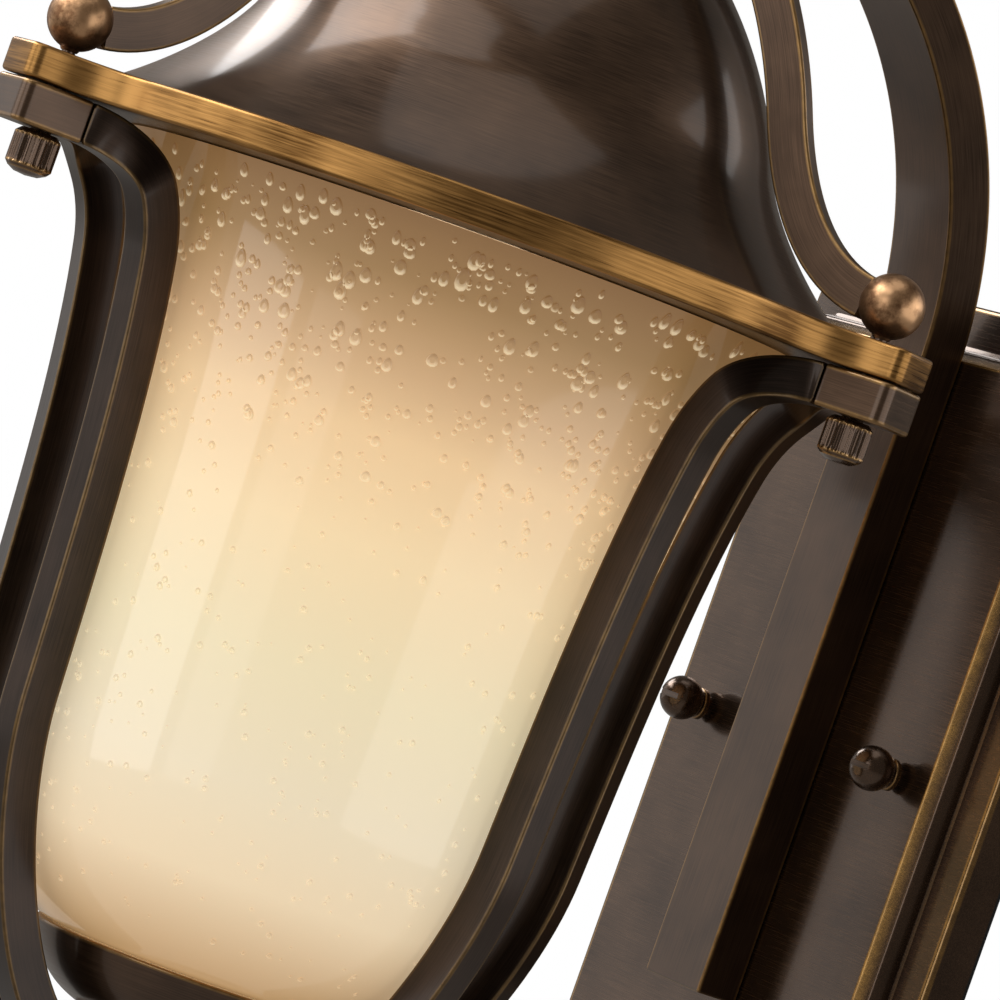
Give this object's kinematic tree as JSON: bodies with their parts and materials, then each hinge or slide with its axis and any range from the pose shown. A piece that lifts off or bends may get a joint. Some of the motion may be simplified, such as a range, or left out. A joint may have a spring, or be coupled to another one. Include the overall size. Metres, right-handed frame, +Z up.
{
  "type": "outdoor wall lantern",
  "caption": "Outdoor wall lantern: bell of amber seeded glass in a strap cage under a bell roof with scrolls, hung from an arched arm on a stepped wall plate.",
  "frame": {"origin": "middle of the bracket bar's back face on the wall, level with the two ball cap nuts", "axes": "+Z up, +Y into the wall, so the lantern stands out towards -Y; +X along the wall"},
  "size_m": [0.2162, 0.2739, 0.3843],
  "materials": {
    "bronze": "olde bronze finish on cast and bent metal, brushed",
    "brass_edge": "antique brass, brushed along the rim",
    "copper_ball": "rubbed copper bronze",
    "amber_glass": "light amber seeded glass, etched inside",
    "rubber": "black foam rubber",
    "zinc": "zinc plated",
    "green_screw": "green earth screw",
    "porcelain": "glazed porcelain",
    "bulb_glass": "frosted white glass",
    "brass": "bright"
  },
  "bodies": {
    "lantern": {"wall_plate": "bronze", "wall_gasket": "rubber", "crossbar": "zinc", "ground_screw": "green_screw", "mounting_stud_left": "bronze", "mounting_stud_right": "bronze", "arm": "bronze", "arm_screw_upper": "zinc", "arm_screw_lower": "zinc", "hanger_stem": "zinc", "stem_nut": "zinc", "crown_hub": "bronze", "roof": "bronze", "flange": "brass_edge", "glass_gasket": "rubber", "lamp_socket": "porcelain", "socket_contact": "brass", "scroll_1": "bronze", "scroll_2": "bronze", "scroll_3": "bronze", "scroll_ball_1": "copper_ball", "scroll_ball_2": "copper_ball", "scroll_ball_3": "copper_ball", "lug_stud_1": "bronze", "lug_stud_2": "bronze", "lug_stud_3": "bronze"},
    "cage": {"lug_1": "bronze", "lug_2": "bronze", "lug_3": "bronze", "strap_1a": "bronze", "strap_1b": "bronze", "strap_2a": "bronze", "strap_2b": "bronze", "strap_3a": "bronze", "strap_3b": "bronze", "bottom_hub": "bronze", "bottom_dish": "bronze", "dish_nut": "zinc", "glass_shade": "amber_glass"},
    "thumb_nut_1": {"thumb_nut_1": "bronze"},
    "thumb_nut_2": {"thumb_nut_2": "bronze"},
    "thumb_nut_3": {"thumb_nut_3": "bronze"},
    "cap_nut_left": {"cap_nut_left": "bronze"},
    "cap_nut_right": {"cap_nut_right": "bronze"},
    "top_finial": {"top_finial": "bronze"},
    "bottom_finial": {"bottom_finial": "bronze"},
    "bulb": {"bulb_base": "brass", "bulb_glass": "bulb_glass"}
  },
  "joints": [
    {"name": "cage_drop", "type": "slide", "parent": "lantern", "child": "cage", "axis": [0, 0, -1], "range_m": [0, 0.085]},
    {"name": "thumb_nut_1_turn", "type": "hinge", "parent": "cage", "child": "thumb_nut_1", "pos_m": [0, -0.2625, 0.0668], "axis": [0, 0, 1], "continuous": true},
    {"name": "thumb_nut_2_turn", "type": "hinge", "parent": "cage", "child": "thumb_nut_2", "pos_m": [0.09526, -0.0975, 0.0668], "axis": [0, 0, 1], "continuous": true},
    {"name": "thumb_nut_3_turn", "type": "hinge", "parent": "cage", "child": "thumb_nut_3", "pos_m": [-0.09526, -0.0975, 0.0668], "axis": [0, 0, 1], "continuous": true},
    {"name": "cap_nut_left_turn", "type": "hinge", "parent": "lantern", "child": "cap_nut_left", "pos_m": [-0.04445, -0.0278, 0], "axis": [0, -1, 0], "continuous": true},
    {"name": "cap_nut_right_turn", "type": "hinge", "parent": "lantern", "child": "cap_nut_right", "pos_m": [0.04445, -0.0278, 0], "axis": [0, -1, 0], "continuous": true},
    {"name": "top_finial_turn", "type": "hinge", "parent": "lantern", "child": "top_finial", "pos_m": [0, -0.1525, 0.222], "axis": [0, 0, 1], "continuous": true},
    {"name": "bottom_finial_turn", "type": "hinge", "parent": "cage", "child": "bottom_finial", "pos_m": [0, -0.1525, -0.1415], "axis": [0, 0, 1], "continuous": true},
    {"name": "bulb_turn", "type": "hinge", "parent": "lantern", "child": "bulb", "pos_m": [0, -0.1525, 0.095], "axis": [0, 0, 1], "continuous": true}
  ]
}
